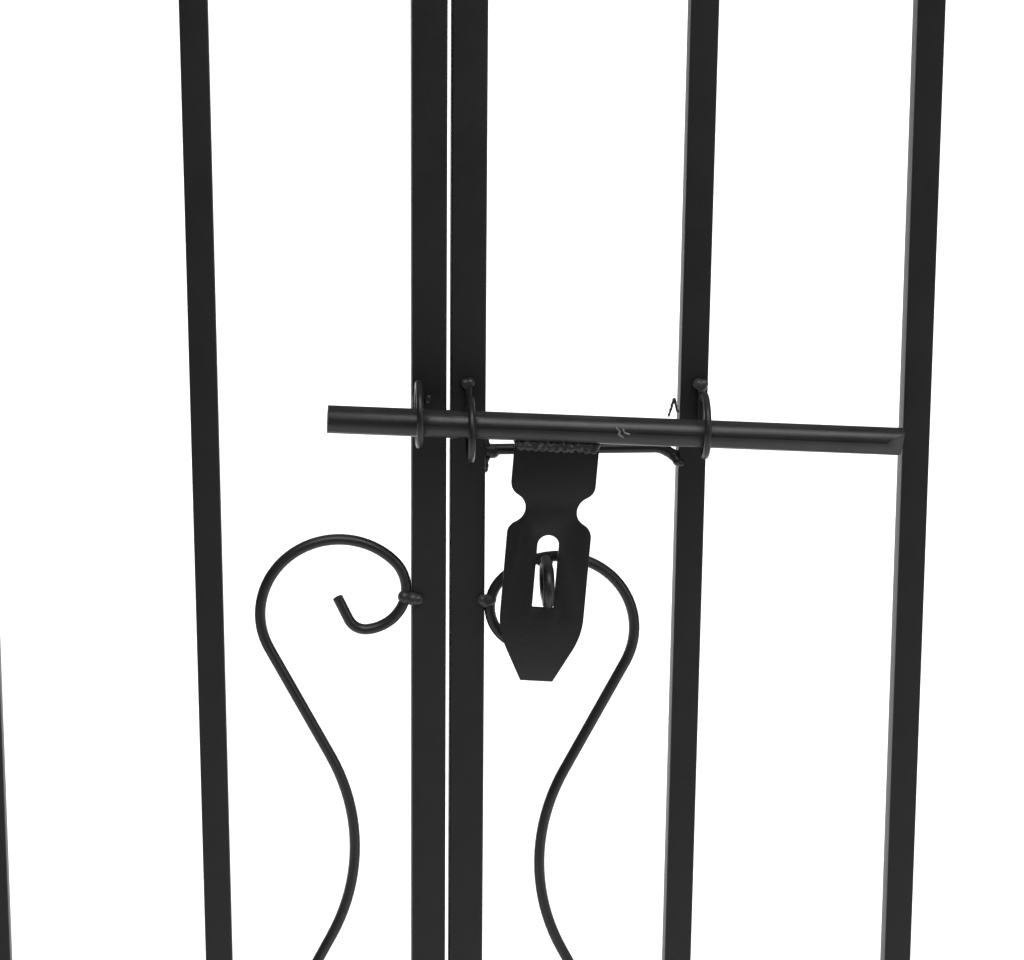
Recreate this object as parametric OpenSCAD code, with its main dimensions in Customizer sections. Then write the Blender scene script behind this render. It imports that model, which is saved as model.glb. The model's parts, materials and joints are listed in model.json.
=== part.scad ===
// Double-leaf steel garden gate, closed by a loose bolt with a padlock hasp.
// Millimetres. X runs along the gate, -Y is the side with the bolt, Z is up.
// The origin is on the ground, midway between the posts.

/* [Gate] */
// Height of the arch above the ground at the middle of the gate
gate_h = 1500; // [1250:10:1900]
// Drop of the arch from the middle of the gate to the hinge stiles
arch_drop = 120; // [60:5:200]
// Gap under the leaves
ground_gap = 70; // [40:5:120]
// Gap between the two meeting stiles
meeting_gap = 2.5; // [1.5:0.5:6]
// Height of the bottom rail's underside above the lower end of the stiles
rail_rise = 20; // [0:5:80]
// Length of stile that stands above the arch
stile_stub = 12; // [4:1:40]

/* [Tubes and bars] */
// Side of the square tube of stiles and rails
stile = 20; // [15:0.5:40]
// Wall of the stile and rail tube
stile_wall = 2; // [1:0.5:3]
// Side of the square tube of the infill bars
bar = 16; // [10:0.5:20]
// Wall of the infill bar tube
bar_wall = 1.5; // [1:0.25:3]
// Distance between the centres of neighbouring uprights
bar_pitch = 129; // [105:1:180]
// How far the foot of the left inner bar stands off its place, away from the middle of the gate
left_inner_foot = -7; // [-10:0.5:10]
// How far its head stands off
left_inner_head = 4.5; // [-10:0.5:10]
// How far the foot of the right inner bar stands off its place
right_inner_foot = -2; // [-10:0.5:10]
// How far its head stands off
right_inner_head = 3.5; // [-10:0.5:10]
// How far the foot of the right outer bar stands off its place
right_outer_foot = 9; // [-10:0.5:10]
// How far its head stands off
right_outer_head = -2.5; // [-10:0.5:10]
// Thickness of the end caps of the stiles
cap_t = 3; // [2:0.5:6]
// Depth of an end cap's plug inside the tube
cap_plug = 12; // [6:1:25]
// Clearance all round the plug
cap_fit = 0.2; // [0.1:0.1:0.5]

/* [Posts] */
// Side of the square posts
post = 60; // [50:5:80]
// Wall of the posts
post_wall = 3; // [2:0.5:5]
// Height of the posts above the low end of the arch
post_rise = 60; // [20:5:150]
// Width of a base plate along the gate
base_w = 120; // [110:5:160]
// Depth of a base plate across the gate
base_d = 220; // [200:5:300]
// Thickness of the base plates
base_t = 8; // [5:1:15]
// Distance of the anchor holes from the edges of the plate
hole_inset = 18; // [15:1:22]
// Diameter of the anchor holes
hole_d = 12; // [8:1:14]
// Height of the gussets
gusset_h = 90; // [40:5:140]
// Reach of the gussets over the base plate
gusset_reach = 55; // [30:5:65]
// Thickness of the gussets
gusset_t = 6; // [4:1:10]

/* [Post caps] */
// Wall of the cap's skirt
skirt_wall = 3; // [2:0.5:5]
// Height of the skirt below the top of the post
skirt_h = 14; // [8:1:30]
// Clearance between skirt and post
skirt_fit = 0.3; // [0.1:0.1:1]
// Height of the sloping roof of the cap
roof_h = 15; // [8:1:30]
// Width of the flat on top of the roof
roof_flat = 22; // [16:1:30]
// Diameter of the ball on the cap
ball_d = 32; // [20:1:50]
// Diameter of the neck under the ball
neck_d = 14.4; // [8:0.2:16]
// Height of the neck, half of which is inside the ball
neck_h = 6.4; // [4:0.2:12]

/* [Hinges] */
// Outer diameter of the hinge barrels
barrel_d = 18; // [16:0.5:26]
// Length of the hinge barrels
barrel_l = 50; // [30:1:80]
// Diameter of the hinge pins
pin_d = 12; // [8:0.5:13]
// Radial clearance of the pins in the barrels
pin_fit = 0.05; // [0.02:0.01:0.1]
// Length of pin above a barrel
pin_over = 5; // [2:1:12]
// Chamfer on top of a pin
pin_tip = 2; // [0.5:0.5:3]
// Thickness of the thrust washers
washer_t = 1.5; // [1:0.5:3]
// Radial clearance of the thrust washers on the pins
washer_fit = 0.2; // [0.1:0.1:0.5]
// Thickness of the shelf under a pin
shelf_t = 8; // [6:1:12]
// Radial step of shelf and washer inside the barrel's outside
shelf_step = 0.8; // [0.5:0.1:1.5]
// Depth of the web below a shelf
web_h = 24; // [10:1:40]
// Thickness of shelf arm and web
web_t = 8; // [4:1:12]
// Clearance between a turning stile's corner and its post
swing_clear = 1.5; // [1:0.5:6]
// Height of the lower barrels above the stiles' lower ends
hinge_low = 190; // [100:5:300]
// Distance of the upper barrels' tops below the low end of the arch
hinge_high = 130; // [80:5:300]

/* [Bolt] */
// Height of the bolt's axis at the middle of the gate
bolt_z = 900; // [800:5:1050]
// Slope of the bolt, in degrees, falling to the right
bolt_tilt = 3; // [0:0.5:4]
// Outer diameter of the bolt tube
bolt_d = 16; // [12:0.5:20]
// Wall of the bolt tube
bolt_wall = 1.5; // [1:0.25:3]
// Length of bolt left of the middle of the gate
bolt_left = 70; // [60:1:90]
// Length of bolt right of the middle of the gate
bolt_right = 260; // [230:1:300]
// Length of the ground bevel on the right end
bevel_l = 11.5; // [6:0.5:20]
// Angle of the bevel to the bolt's axis
bevel_a = 24; // [15:1:40]
// Direction that the bevel faces, in degrees below level
bevel_turn = 20; // [0:5:60]
// Length of tube that is pressed solid at the bevelled end
pressed_l = 22; // [12:1:40]

/* [Bolt rings] */
// Thickness of the ring rod
ring_rod = 4; // [3:0.5:6]
// How much wider the rings are than the bolt
ring_play = 15; // [8:1:20]
// Distance of the keeper ring from the middle of the gate
keeper_x = 18; // [10:0.5:24]
// Height of the keeper ring's centre above the bolt's axis
keeper_lift = 5; // [0:0.5:5]
// Height of the inner bolt ring's centre below the bolt's axis
inner_fall = 2.5; // [0:0.5:5]
// Height of the outer bolt ring's centre above the bolt's axis
outer_lift = 4.5; // [0:0.5:5]
// Length of the straight tail above the centre of a bolt ring
tail_l = 22; // [20:1:40]
// Angle between the tail and the end of the eye
eye_gap = 46; // [44:1:80]

/* [Cross rod] */
// Thickness of the cross rod, the scrolls and the staple
rod = 6.4; // [4:0.1:8]
// Height of the cross rod's axis below the bolt's underside at the stile
cross_gap = 14.4; // [8:0.2:20]
// How far the cross rod lies behind the front of the infill bar
cross_inset = 0.5; // [0:0.5:4]
// Length of the bent end at the infill bar
cross_bend_l = 14; // [8:1:24]
// Slope of the bent end
cross_bend_a = 30; // [10:1:45]

/* [Hasp] */
// Distance of the hasp's middle from the middle of the gate, along the bolt
hasp_x = 61.6; // [50:0.2:75]
// Width of the hasp
hasp_w = 48.6; // [40:0.2:60]
// Thickness of the hasp
hasp_t = 3; // [2:0.5:5]
// Distance from the bolt's axis to the hasp's lower end
hasp_l = 153.5; // [140:0.5:180]
// Distance from the bolt's axis to the middle of the side notches
notch_z = 49; // [40:1:60]
// Radius of the side notches
notch_r = 9.5; // [5:0.5:12]
// Radius of the lips of the side notches
lip_r = 8; // [2:0.5:10]
// Distance from the bolt's axis to where the sides start to close in
taper_z = 113.5; // [100:0.5:130]
// Radius of that curve
taper_r = 45; // [20:1:60]
// Angle of the sides at the lower end
taper_a = 27; // [20:1:40]
// Lean of the hasp from square to the bolt, in degrees
hasp_lean = 1.2; // [0:0.1:3]
// Gap between the hasp and the tube that it turns with
hasp_gap = 0.3; // [0.2:0.1:0.5]
// Width of the slot for the staple
slot_w = 12.4; // [11:0.2:14]
// Distance from the bolt's axis to the top of the slot
slot_top = 64; // [58:1:75]
// Clearance of the slot above the staple
slot_above = 16; // [4:0.5:20]
// Clearance of the slot below the staple
slot_below = 1.5; // [1:0.5:6]

/* [Staple] */
// Outer height of the staple, a long loop that stands forward
staple_h = 27; // [24:0.5:34]
// Length of its straight sides
staple_leg = 13; // [8:0.5:16]
// Distance of the staple to the right of the slot's middle
staple_shift = 1.4; // [0:0.1:2]
// Height of the scroll's rod above the middle of the staple's back end
staple_hang = 8; // [4:0.5:12]

/* [Scrolls] */
// Radius of the scroll's back
back_r = 126; // [80:1:150]
// Lean of the straight shank from upright, in degrees
shank_lean = 27.4; // [15:0.1:35]
// Length of the straight shank
shank_l = 76.4; // [60:0.2:120]
// Radius of the head of the scroll
head_r = 45.6; // [40:0.2:55]
// Radius of the curl
curl_r = 24.8; // [12:0.2:26]
// Angle at which the curl starts, above level
curl_start = 45; // [0:1:60]
// Angle that the curl turns through
curl_turn = 130; // [100:1:180]
// Radius of the tighter bend after the curl
tip_r = 11; // [8:0.5:12]
// Angle that it turns through
tip_turn = 70; // [10:1:90]
// Length of the straight tip
tip_l = 15; // [4:1:20]
// How much higher the left scroll is than the right one
left_scroll_up = 12; // [0:1:20]

/* [Hidden] */
$fn = 72;
// facets of the arch, which is a very large circle
arch_fn = 720;
// a bent rod is made of lengths: each thinner one starts a little inside its thicker neighbour
lap = 0.8;
lap_step = 0.08;
coat = [0.14, 0.14, 0.15];
post_coat = [0.17, 0.17, 0.18];
plastic = [0.22, 0.22, 0.23];
steel = [0.55, 0.55, 0.57];

// places along the gate, for the right leaf; the left leaf is its mirror image
meeting_x = meeting_gap / 2 + stile / 2;
inner_bar_x = meeting_x + bar_pitch;
outer_bar_x = meeting_x + 2 * bar_pitch;
hinge_stile_x = meeting_x + 3 * bar_pitch;
hinge_x = hinge_stile_x + stile / 2 + barrel_d / 2;
post_x = hinge_x + norm([barrel_d, stile]) / 2 + swing_clear + post / 2;

// the arch is one circle about the middle of the gate
arch_r = (pow(hinge_stile_x, 2) + pow(arch_drop, 2)) / (2 * arch_drop);
arch_z = gate_h - arch_r;
bottom_rail_z = ground_gap + rail_rise;
bar_foot = bottom_rail_z + stile;
arch_low = gate_h - arch_drop;
post_h = arch_low + post_rise;
lower_barrel_z = ground_gap + hinge_low;
upper_barrel_z = arch_low - hinge_high - barrel_l;

// the bolt and its rings
ring_r = (bolt_d + ring_play + ring_rod) / 2;
stile_face = -stile / 2;
bar_face = -bar / 2;
bolt_y = stile_face - ring_rod - ring_play / 2 - bolt_d / 2;
inner_bar_off = right_inner_foot
    + (right_inner_head - right_inner_foot) * (bolt_z - bar_foot) / (gate_h - bar_foot);
outer_ring_x = inner_bar_x + inner_bar_off + bar / 2 - ring_rod;
cross_y = bar_face + rod / 2 + cross_inset;
cross_z = bolt_axis_z(meeting_x) - bolt_d / 2 - cross_gap;

// the staple passes through the slot, and its back end touches the scroll
staple_r = (staple_h - rod) / 2;
slot_l = slot_above + staple_h + slot_below;
staple_drop = slot_top + slot_above + staple_h / 2;
staple_x = hasp_x * cos(bolt_tilt) - staple_drop * sin(bolt_tilt + hasp_lean) + staple_shift;
staple_z = bolt_z - hasp_x * sin(bolt_tilt) - staple_drop * cos(bolt_tilt + hasp_lean);
scroll_y = stile_face + rod / 2;
staple_y = scroll_y - sqrt(pow(staple_r + rod, 2) - pow(staple_hang, 2));

// the scroll touches the stile with its curl; u runs away from the middle of the gate, v is up
curl_u = meeting_gap / 2 + stile + rod / 2 + curl_r;
head_u = curl_u + (head_r - curl_r) * cos(curl_start);
back_u = head_u - back_r * (1 - cos(shank_lean)) - shank_l * sin(shank_lean) + head_r * cos(shank_lean);
head_v = back_r * sin(shank_lean) + shank_l * cos(shank_lean) + head_r * sin(shank_lean);
curl_v = head_v + (head_r - curl_r) * sin(curl_start);
right_scroll_z = staple_z + staple_hang - head_v - sqrt(pow(head_r, 2) - pow(head_u - staple_x, 2));
left_scroll_z = right_scroll_z + left_scroll_up;

// height of the bolt's axis at a place along the gate
function bolt_axis_z(x) = bolt_z - x * tan(bolt_tilt);

// height of the arch's outer face at a place along the gate
function arch_top_z(x) = arch_z + sqrt(pow(arch_r, 2) - pow(x, 2));

// points of an arc from angle a to angle b
function arc(centre, r, a, b, steps) =
    [for (i = [0:steps]) let (t = a + (b - a) * i / steps) centre + r * [cos(t), sin(t)]];

module on_left() mirror([1, 0, 0]) children();

// square tube standing on z, centred on its own axis
module square_tube(side, wall, h) {
    linear_extrude(h) difference() {
        square(side, center = true);
        square(side - 2 * wall, center = true);
    }
}

// everything above a circle about the arch's centre
module above_arch(r) {
    translate([0, 0, arch_z]) difference() {
        translate([-arch_r, -stile, 0]) cube([2 * arch_r, 2 * stile, arch_r + stile]);
        rotate([90, 0, 0]) cylinder(r = r, h = 4 * stile, center = true, $fn = arch_fn);
    }
}

// rods in the gate's plane, drawn in u and v
module in_gate_plane(y, z) translate([0, y, z]) rotate([90, 0, 0]) children();

module rod_arc(centre, r, a, b, d, before = 0, after = 0) {
    start = a - before / r * 180 / PI;
    stop = b + after / r * 180 / PI;
    translate([centre[0], centre[1], 0]) rotate([0, 0, start])
        rotate_extrude(angle = stop - start) translate([r, 0]) circle(d = d);
}

module rod_line(start, heading, l, d, before = 0, after = 0) {
    translate([start[0], start[1], 0]) rotate([0, 0, heading]) translate([-before, 0, 0])
        rotate([0, 90, 0]) cylinder(d = d, h = before + l + after);
}

// the bolt's own frame: X along the bolt, Z across it
module along_bolt() translate([0, bolt_y, bolt_z]) rotate([0, bolt_tilt, 0]) children();

// ---- posts ----

module post_tube() {
    color(post_coat) translate([post_x, 0, base_t]) square_tube(post, post_wall, post_h - base_t);
}

module post_cap() {
    outside = post + 2 * (skirt_wall + skirt_fit);
    inside = post + 2 * skirt_fit;
    color(post_coat) translate([post_x, 0, post_h]) {
        difference() {
            translate([-outside / 2, -outside / 2, -skirt_h]) cube([outside, outside, skirt_h + skirt_wall]);
            translate([-inside / 2, -inside / 2, -skirt_h - 1]) cube([inside, inside, skirt_h + 1]);
        }
        translate([0, 0, skirt_wall]) intersection_for (turn = [0, 90]) rotate([0, 0, turn])
            rotate([90, 0, 0]) linear_extrude(outside, center = true) polygon([
                [-outside / 2, 0], [outside / 2, 0], [roof_flat / 2, roof_h], [-roof_flat / 2, roof_h]]);
        translate([0, 0, skirt_wall + roof_h]) {
            cylinder(d = neck_d, h = neck_h);
            translate([0, 0, neck_h / 2 + ball_d / 2]) sphere(d = ball_d);
        }
    }
}

module base_plate() {
    color(post_coat) translate([post_x, 0, 0]) difference() {
        translate([-base_w / 2, -base_d / 2, 0]) cube([base_w, base_d, base_t]);
        for (x = [-1, 1], y = [-1, 1])
            translate([x * (base_w / 2 - hole_inset), y * (base_d / 2 - hole_inset), -1])
                cylinder(d = hole_d, h = base_t + 2);
    }
}

module base_gussets() {
    color(post_coat) for (side = [0, 180])
        translate([post_x, 0, base_t]) rotate([0, 0, side + 90]) rotate([90, 0, 0])
            linear_extrude(gusset_t, center = true) polygon([
                [post / 2, 0], [post / 2 + gusset_reach, 0],
                [post / 2 + gusset_reach, gusset_t], [post / 2, gusset_h]]);
}

// ---- hinges ----

module pintle(barrel_z) {
    shelf_r = barrel_d / 2 - shelf_step;
    arm = post_x - post / 2 - hinge_x;
    color(coat) translate([hinge_x, 0, barrel_z - washer_t]) {
        cylinder(d = pin_d, h = washer_t + barrel_l + pin_over - pin_tip);
        translate([0, 0, washer_t + barrel_l + pin_over - pin_tip])
            cylinder(d1 = pin_d, d2 = pin_d - 2 * pin_tip, h = pin_tip);
        translate([0, 0, -shelf_t]) cylinder(r = shelf_r, h = shelf_t);
        translate([0, -web_t / 2, -shelf_t]) cube([arm, web_t, shelf_t]);
        rotate([90, 0, 0]) linear_extrude(web_t, center = true)
            polygon([[0, -shelf_t], [arm, -shelf_t], [arm, -shelf_t - web_h]]);
    }
}

module thrust_washers() {
    color(steel) for (z = [lower_barrel_z, upper_barrel_z])
        translate([hinge_x, 0, z - washer_t]) difference() {
            cylinder(r = barrel_d / 2 - shelf_step, h = washer_t);
            translate([0, 0, -1]) cylinder(d = pin_d + 2 * washer_fit, h = washer_t + 2);
        }
}

module hinge_barrel(z) {
    color(coat) translate([hinge_x, 0, z]) difference() {
        cylinder(d = barrel_d, h = barrel_l);
        translate([0, 0, -1]) cylinder(r = pin_d / 2 + pin_fit, h = barrel_l + 2);
    }
}

// ---- leaves ----

module upright(x) {
    top = arch_top_z(x) + stile_stub;
    color(coat) translate([x, 0, ground_gap]) square_tube(stile, stile_wall, top - ground_gap);
}

// an infill bar's own frame: Z up its axis from the foot; foot and head may each stand off its place
module along_bar(x, foot_off, head_off)
    translate([x + foot_off, 0, bar_foot])
        rotate([0, atan((head_off - foot_off) / (gate_h - bar_foot)), 0]) children();

// a bar runs from the rail to the arch
module infill_bar(x, foot_off = 0, head_off = 0) {
    color(coat) difference() {
        along_bar(x, foot_off, head_off) translate([0, 0, -bar])
            square_tube(bar, bar_wall, gate_h - bar_foot + bar);
        above_arch(arch_r - stile);
        translate([x - 2 * bar, -bar, bar_foot - 2 * bar]) cube([4 * bar, 2 * bar, 2 * bar]);
    }
}

module bottom_rail() {
    l = hinge_stile_x - meeting_x - stile;
    color(coat) translate([meeting_x + stile / 2, 0, bottom_rail_z + stile / 2])
        rotate([0, 90, 0]) square_tube(stile, stile_wall, l);
}

module arch_band(inner, outer, depth) {
    linear_extrude(depth, center = true) difference() {
        circle(r = outer, $fn = arch_fn);
        circle(r = inner, $fn = arch_fn);
    }
}

module arch_rail() {
    l = hinge_stile_x - meeting_x - stile;
    color(coat) intersection() {
        translate([0, 0, arch_z]) rotate([90, 0, 0]) difference() {
            arch_band(arch_r - stile, arch_r, stile);
            arch_band(arch_r - stile + stile_wall, arch_r - stile_wall, stile - 2 * stile_wall);
        }
        translate([meeting_x + stile / 2, -stile, arch_z]) cube([l, 2 * stile, arch_r + 1]);
    }
}

module stile_cap(x, z, up) {
    plug = stile - 2 * stile_wall - 2 * cap_fit;
    translate([x, 0, z]) mirror([0, 0, up ? 0 : 1]) {
        translate([-stile / 2, -stile / 2, 0]) cube([stile, stile, cap_t]);
        translate([-plug / 2, -plug / 2, -cap_plug]) cube([plug, plug, cap_plug]);
    }
}

module stile_caps() {
    color(plastic) for (x = [meeting_x, hinge_stile_x]) {
        stile_cap(x, ground_gap, false);
        stile_cap(x, arch_top_z(x) + stile_stub, true);
    }
}

module scroll_half() {
    shank_start = [back_u + back_r * (1 - cos(shank_lean)), back_r * sin(shank_lean)];
    curl_end = 180 - curl_start + curl_turn;
    tip_centre = [curl_u, curl_v] + (curl_r - tip_r) * [cos(curl_end), sin(curl_end)];
    tip_end = curl_end + tip_turn;
    tip_start = tip_centre + tip_r * [cos(tip_end), sin(tip_end)];
    thin = rod - lap_step;
    rod_line(shank_start, 90 - shank_lean, shank_l, thin, lap, lap);
    rod_arc([head_u, head_v], head_r, -shank_lean, 180 - curl_start, rod);
    rod_arc([curl_u, curl_v], curl_r, 180 - curl_start, curl_end, thin, lap);
    rod_arc(tip_centre, tip_r, curl_end, tip_end, thin - lap_step, lap);
    rod_line(tip_start, tip_end + 90, tip_l, thin - 2 * lap_step, lap);
}

module scroll(z) {
    color(coat) in_gate_plane(scroll_y, z) {
        rod_arc([back_u + back_r, 0], back_r, 180 - shank_lean, 180 + shank_lean, rod);
        scroll_half();
        mirror([0, 1, 0]) scroll_half();
    }
}

// ---- latch ----

module keeper_ring() {
    z = bolt_axis_z(-keeper_x) + keeper_lift;
    color(coat) translate([-keeper_x, stile_face - ring_rod / 2 - ring_r, z]) rotate([0, 90, 0])
        rotate_extrude() translate([ring_r, 0]) circle(d = ring_rod);
}

// open eye, with a straight tail that lies up the face that it is welded to
module bolt_ring(x, face, centre_z) {
    color(coat) translate([x, face - ring_rod / 2, centre_z]) rotate([90, 0, 90]) {
        rod_arc([-ring_r, 0], ring_r, eye_gap - 360, 0, ring_rod);
        rod_line([0, 0], 90, tail_l, ring_rod - lap_step, lap);
    }
}

module cross_rod() {
    start = meeting_x + stile / 2;
    stop = inner_bar_x + inner_bar_off - bar / 2;
    straight = stop - start - cross_bend_l;
    bend_r = 2 * rod;
    // cut square to the stile and along the bar's side
    color(coat) intersection() {
        in_gate_plane(cross_y, cross_z) {
            rod_line([start, 0], 0, straight, rod);
            rod_arc([start + straight, -bend_r], bend_r, 90 - cross_bend_a, 90, rod - lap_step, lap, lap);
            rod_line([start + straight + bend_r * sin(cross_bend_a), -bend_r * (1 - cos(cross_bend_a))],
                -cross_bend_a, cross_bend_l, rod);
        }
        translate([start, cross_y - rod, cross_z - bar_pitch / 2]) cube([bar_pitch, 2 * rod, bar_pitch]);
        along_bar(inner_bar_x, right_inner_foot, right_inner_head)
            translate([-bar / 2 - bar_pitch, cross_y - rod, 0]) cube([bar_pitch, 2 * rod, gate_h]);
    }
}

module hasp_staple() {
    color(coat) translate([staple_x, staple_y, staple_z]) rotate([90, 0, 90]) {
        rod_arc([0, 0], staple_r, -90, 90, rod);
        rod_arc([-staple_leg, 0], staple_r, 90, 270, rod);
        for (v = [-staple_r, staple_r])
            rod_line([-staple_leg, v], 0, staple_leg, rod - lap_step, lap, lap);
    }
}

module bolt_tube() {
    color(coat) along_bolt() difference() {
        translate([-bolt_left, 0, 0]) rotate([0, 90, 0]) cylinder(d = bolt_d, h = bolt_left + bolt_right);
        translate([-bolt_left - 1, 0, 0]) rotate([0, 90, 0])
            cylinder(d = bolt_d - 2 * bolt_wall, h = bolt_left + bolt_right - pressed_l + 1);
        translate([bolt_right - bevel_l, 0, 0]) rotate([bevel_turn, 0, 0]) translate([0, -bolt_d / 2, 0])
            rotate([0, 0, bevel_a]) translate([-bolt_d, -bolt_d, -bolt_d]) cube([4 * bolt_d, bolt_d, 2 * bolt_d]);
    }
}

// right-hand side of the hasp's outline, from the top down; x across, y down from the bolt's axis
function hasp_side() = let (
        half = hasp_w / 2,
        reach = notch_r + lip_r,
        // lips and notch touch where the line between their centres crosses them
        lip_dz = sqrt(pow(reach, 2) - pow(lip_r, 2)),
        lip_a = asin(lip_dz / reach),
        taper_x = half - taper_r * (1 - cos(taper_a)),
        taper_y = taper_z + taper_r * sin(taper_a)
    ) concat(
        [[half, 0]],
        arc([half - lip_r, notch_z - lip_dz], lip_r, 0, lip_a, 6),
        arc([half, notch_z], notch_r, 180 + lip_a, 180 - lip_a, 12),
        arc([half - lip_r, notch_z + lip_dz], lip_r, -lip_a, 0, 6),
        arc([half - taper_r, taper_z], taper_r, 0, taper_a, 8),
        [[taper_x - (hasp_l - taper_y) * tan(taper_a), hasp_l]]
    );

module hasp_plate() {
    right = hasp_side();
    left = [for (i = [len(right) - 1:-1:0]) [-right[i][0], right[i][1]]];
    color(coat) along_bolt() difference() {
        translate([hasp_x, 0, 0]) rotate([0, hasp_lean, 0]) rotate([-90, 0, 0])
            linear_extrude(hasp_t, center = true) difference() {
                polygon(concat(right, left));
                translate([0, slot_top + slot_w / 2]) circle(d = slot_w);
                translate([-slot_w / 2, slot_top + slot_w / 2]) square([slot_w, slot_l - slot_w / 2]);
            }
        translate([hasp_x - hasp_w, 0, 0]) rotate([0, 90, 0])
            cylinder(r = bolt_d / 2 + hasp_gap, h = 2 * hasp_w);
    }
}

on_left() post_tube();  // left_post
on_left() post_cap();  // left_post_cap
on_left() base_plate();  // left_base_plate
on_left() base_gussets();  // left_base_gussets
on_left() pintle(upper_barrel_z);  // left_upper_pintle
on_left() pintle(lower_barrel_z);  // left_lower_pintle
on_left() thrust_washers();  // left_thrust_washers
post_tube();  // right_post
post_cap();  // right_post_cap
base_plate();  // right_base_plate
base_gussets();  // right_base_gussets
pintle(upper_barrel_z);  // right_upper_pintle
pintle(lower_barrel_z);  // right_lower_pintle
thrust_washers();  // right_thrust_washers
on_left() upright(meeting_x);  // left_meeting_stile
on_left() upright(hinge_stile_x);  // left_hinge_stile
on_left() infill_bar(inner_bar_x, left_inner_foot, left_inner_head);  // left_inner_bar
on_left() infill_bar(outer_bar_x);  // left_outer_bar
on_left() bottom_rail();  // left_bottom_rail
on_left() arch_rail();  // left_arch_rail
on_left() stile_caps();  // left_stile_caps
on_left() scroll(left_scroll_z);  // left_scroll
on_left() hinge_barrel(upper_barrel_z);  // left_upper_barrel
on_left() hinge_barrel(lower_barrel_z);  // left_lower_barrel
keeper_ring();
upright(meeting_x);  // right_meeting_stile
upright(hinge_stile_x);  // right_hinge_stile
infill_bar(inner_bar_x, right_inner_foot, right_inner_head);  // right_inner_bar
infill_bar(outer_bar_x, right_outer_foot, right_outer_head);  // right_outer_bar
bottom_rail();  // right_bottom_rail
arch_rail();  // right_arch_rail
stile_caps();  // right_stile_caps
scroll(right_scroll_z);  // right_scroll
hinge_barrel(upper_barrel_z);  // right_upper_barrel
hinge_barrel(lower_barrel_z);  // right_lower_barrel
bolt_ring(meeting_x, stile_face, bolt_axis_z(meeting_x) - inner_fall);  // inner_bolt_ring
bolt_ring(outer_ring_x, bar_face, bolt_axis_z(outer_ring_x) + outer_lift);  // outer_bolt_ring
cross_rod();
hasp_staple();
bolt_tube();
hasp_plate();
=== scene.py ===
import bpy
import bmesh
import json
import math
import random
from mathutils import Matrix, Vector


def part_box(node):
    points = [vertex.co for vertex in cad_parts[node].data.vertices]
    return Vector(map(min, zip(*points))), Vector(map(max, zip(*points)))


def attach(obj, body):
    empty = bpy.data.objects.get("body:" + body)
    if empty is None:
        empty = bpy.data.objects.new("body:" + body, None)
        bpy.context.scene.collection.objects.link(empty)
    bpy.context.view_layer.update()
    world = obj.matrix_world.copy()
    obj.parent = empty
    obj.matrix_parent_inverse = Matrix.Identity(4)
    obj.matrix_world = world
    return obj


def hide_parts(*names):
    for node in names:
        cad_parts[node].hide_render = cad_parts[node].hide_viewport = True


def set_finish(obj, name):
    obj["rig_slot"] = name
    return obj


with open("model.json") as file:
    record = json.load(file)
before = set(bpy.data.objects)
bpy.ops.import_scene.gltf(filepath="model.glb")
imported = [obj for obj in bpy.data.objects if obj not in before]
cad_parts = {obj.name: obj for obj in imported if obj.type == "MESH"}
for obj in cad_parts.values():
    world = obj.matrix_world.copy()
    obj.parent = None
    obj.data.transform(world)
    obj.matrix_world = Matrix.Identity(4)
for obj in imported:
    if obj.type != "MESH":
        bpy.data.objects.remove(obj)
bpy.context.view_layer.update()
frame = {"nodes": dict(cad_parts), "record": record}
cadNodes = frame["nodes"]
print("gate frame loaded,", len(cadNodes), "nodes")

# ---- camera, floor and light ----

cameraSetup = {
    "target": (0.0366, -0.010, 0.860),   # the point it is aimed at
    "distance": 2.05,
    "lookDown": 17.5,                    # degrees
    "lookRight": 4.0,
    "roll": 0.5,
    "lens": 124.8,
}
# frontShade: painted shade, the floor's colour darker in front of the gate past frontEdge
floorSetup = {"size": 40.0, "drop": 0.0005, "pale": (0.90, 0.90, 0.90), "shade": (0.86, 0.86, 0.855),
              "frontEdge": -0.6, "frontShade": (0.36, 0.36, 0.36)}
lightSetup = {
    # name: place, aim, width, height, watts
    "backWash": ((0.0, 4.4, 4.2), (0.0, 4.4, 0.0), 12.0, 8.0, 900.0),
    "keySoftbox": ((0.3, -1.8, 3.3), (0.1, 0.0, 0.85), 3.2, 1.9, 68.0),
    "rightFill": ((2.6, -1.6, 1.3), (0.0, 0.0, 0.85), 1.2, 1.6, 11.0),
}
worldSetup = {"colour": (1.0, 1.0, 1.0), "strength": 0.10}


def clearSelection():
    if bpy.context.object and bpy.context.object.mode != "OBJECT":
        bpy.ops.object.mode_set(mode="OBJECT")
    for held in list(bpy.context.selected_objects):
        held.select_set(False)


def takeHold(piece):
    clearSelection()
    piece.select_set(True)
    bpy.context.view_layer.objects.active = piece


def settle(piece):
    # the place goes into the mesh, and the object back to the origin
    takeHold(piece)
    bpy.ops.object.transform_apply(location=True, rotation=True, scale=True)


def setUpCamera(setup):
    down, right, roll = (math.radians(setup[k]) for k in ("lookDown", "lookRight", "roll"))
    ahead = Vector((math.sin(right) * math.cos(down), math.cos(right) * math.cos(down), -math.sin(down)))
    side = ahead.cross(Vector((0, 0, 1))).normalized()
    upward = side.cross(ahead)
    turnedSide = side * math.cos(roll) + upward * math.sin(roll)
    turnedUp = upward * math.cos(roll) - side * math.sin(roll)
    lens = bpy.data.cameras.new("gateCamera")
    lens.lens = setup["lens"]
    lens.sensor_width = 36.0
    holder = bpy.data.objects.new("gateCamera", lens)
    bpy.context.scene.collection.objects.link(holder)
    turn = Matrix((turnedSide, turnedUp, -ahead)).transposed().to_4x4()
    holder.matrix_world = Matrix.Translation(Vector(setup["target"]) - ahead * setup["distance"]) @ turn
    bpy.context.scene.camera = holder


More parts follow.
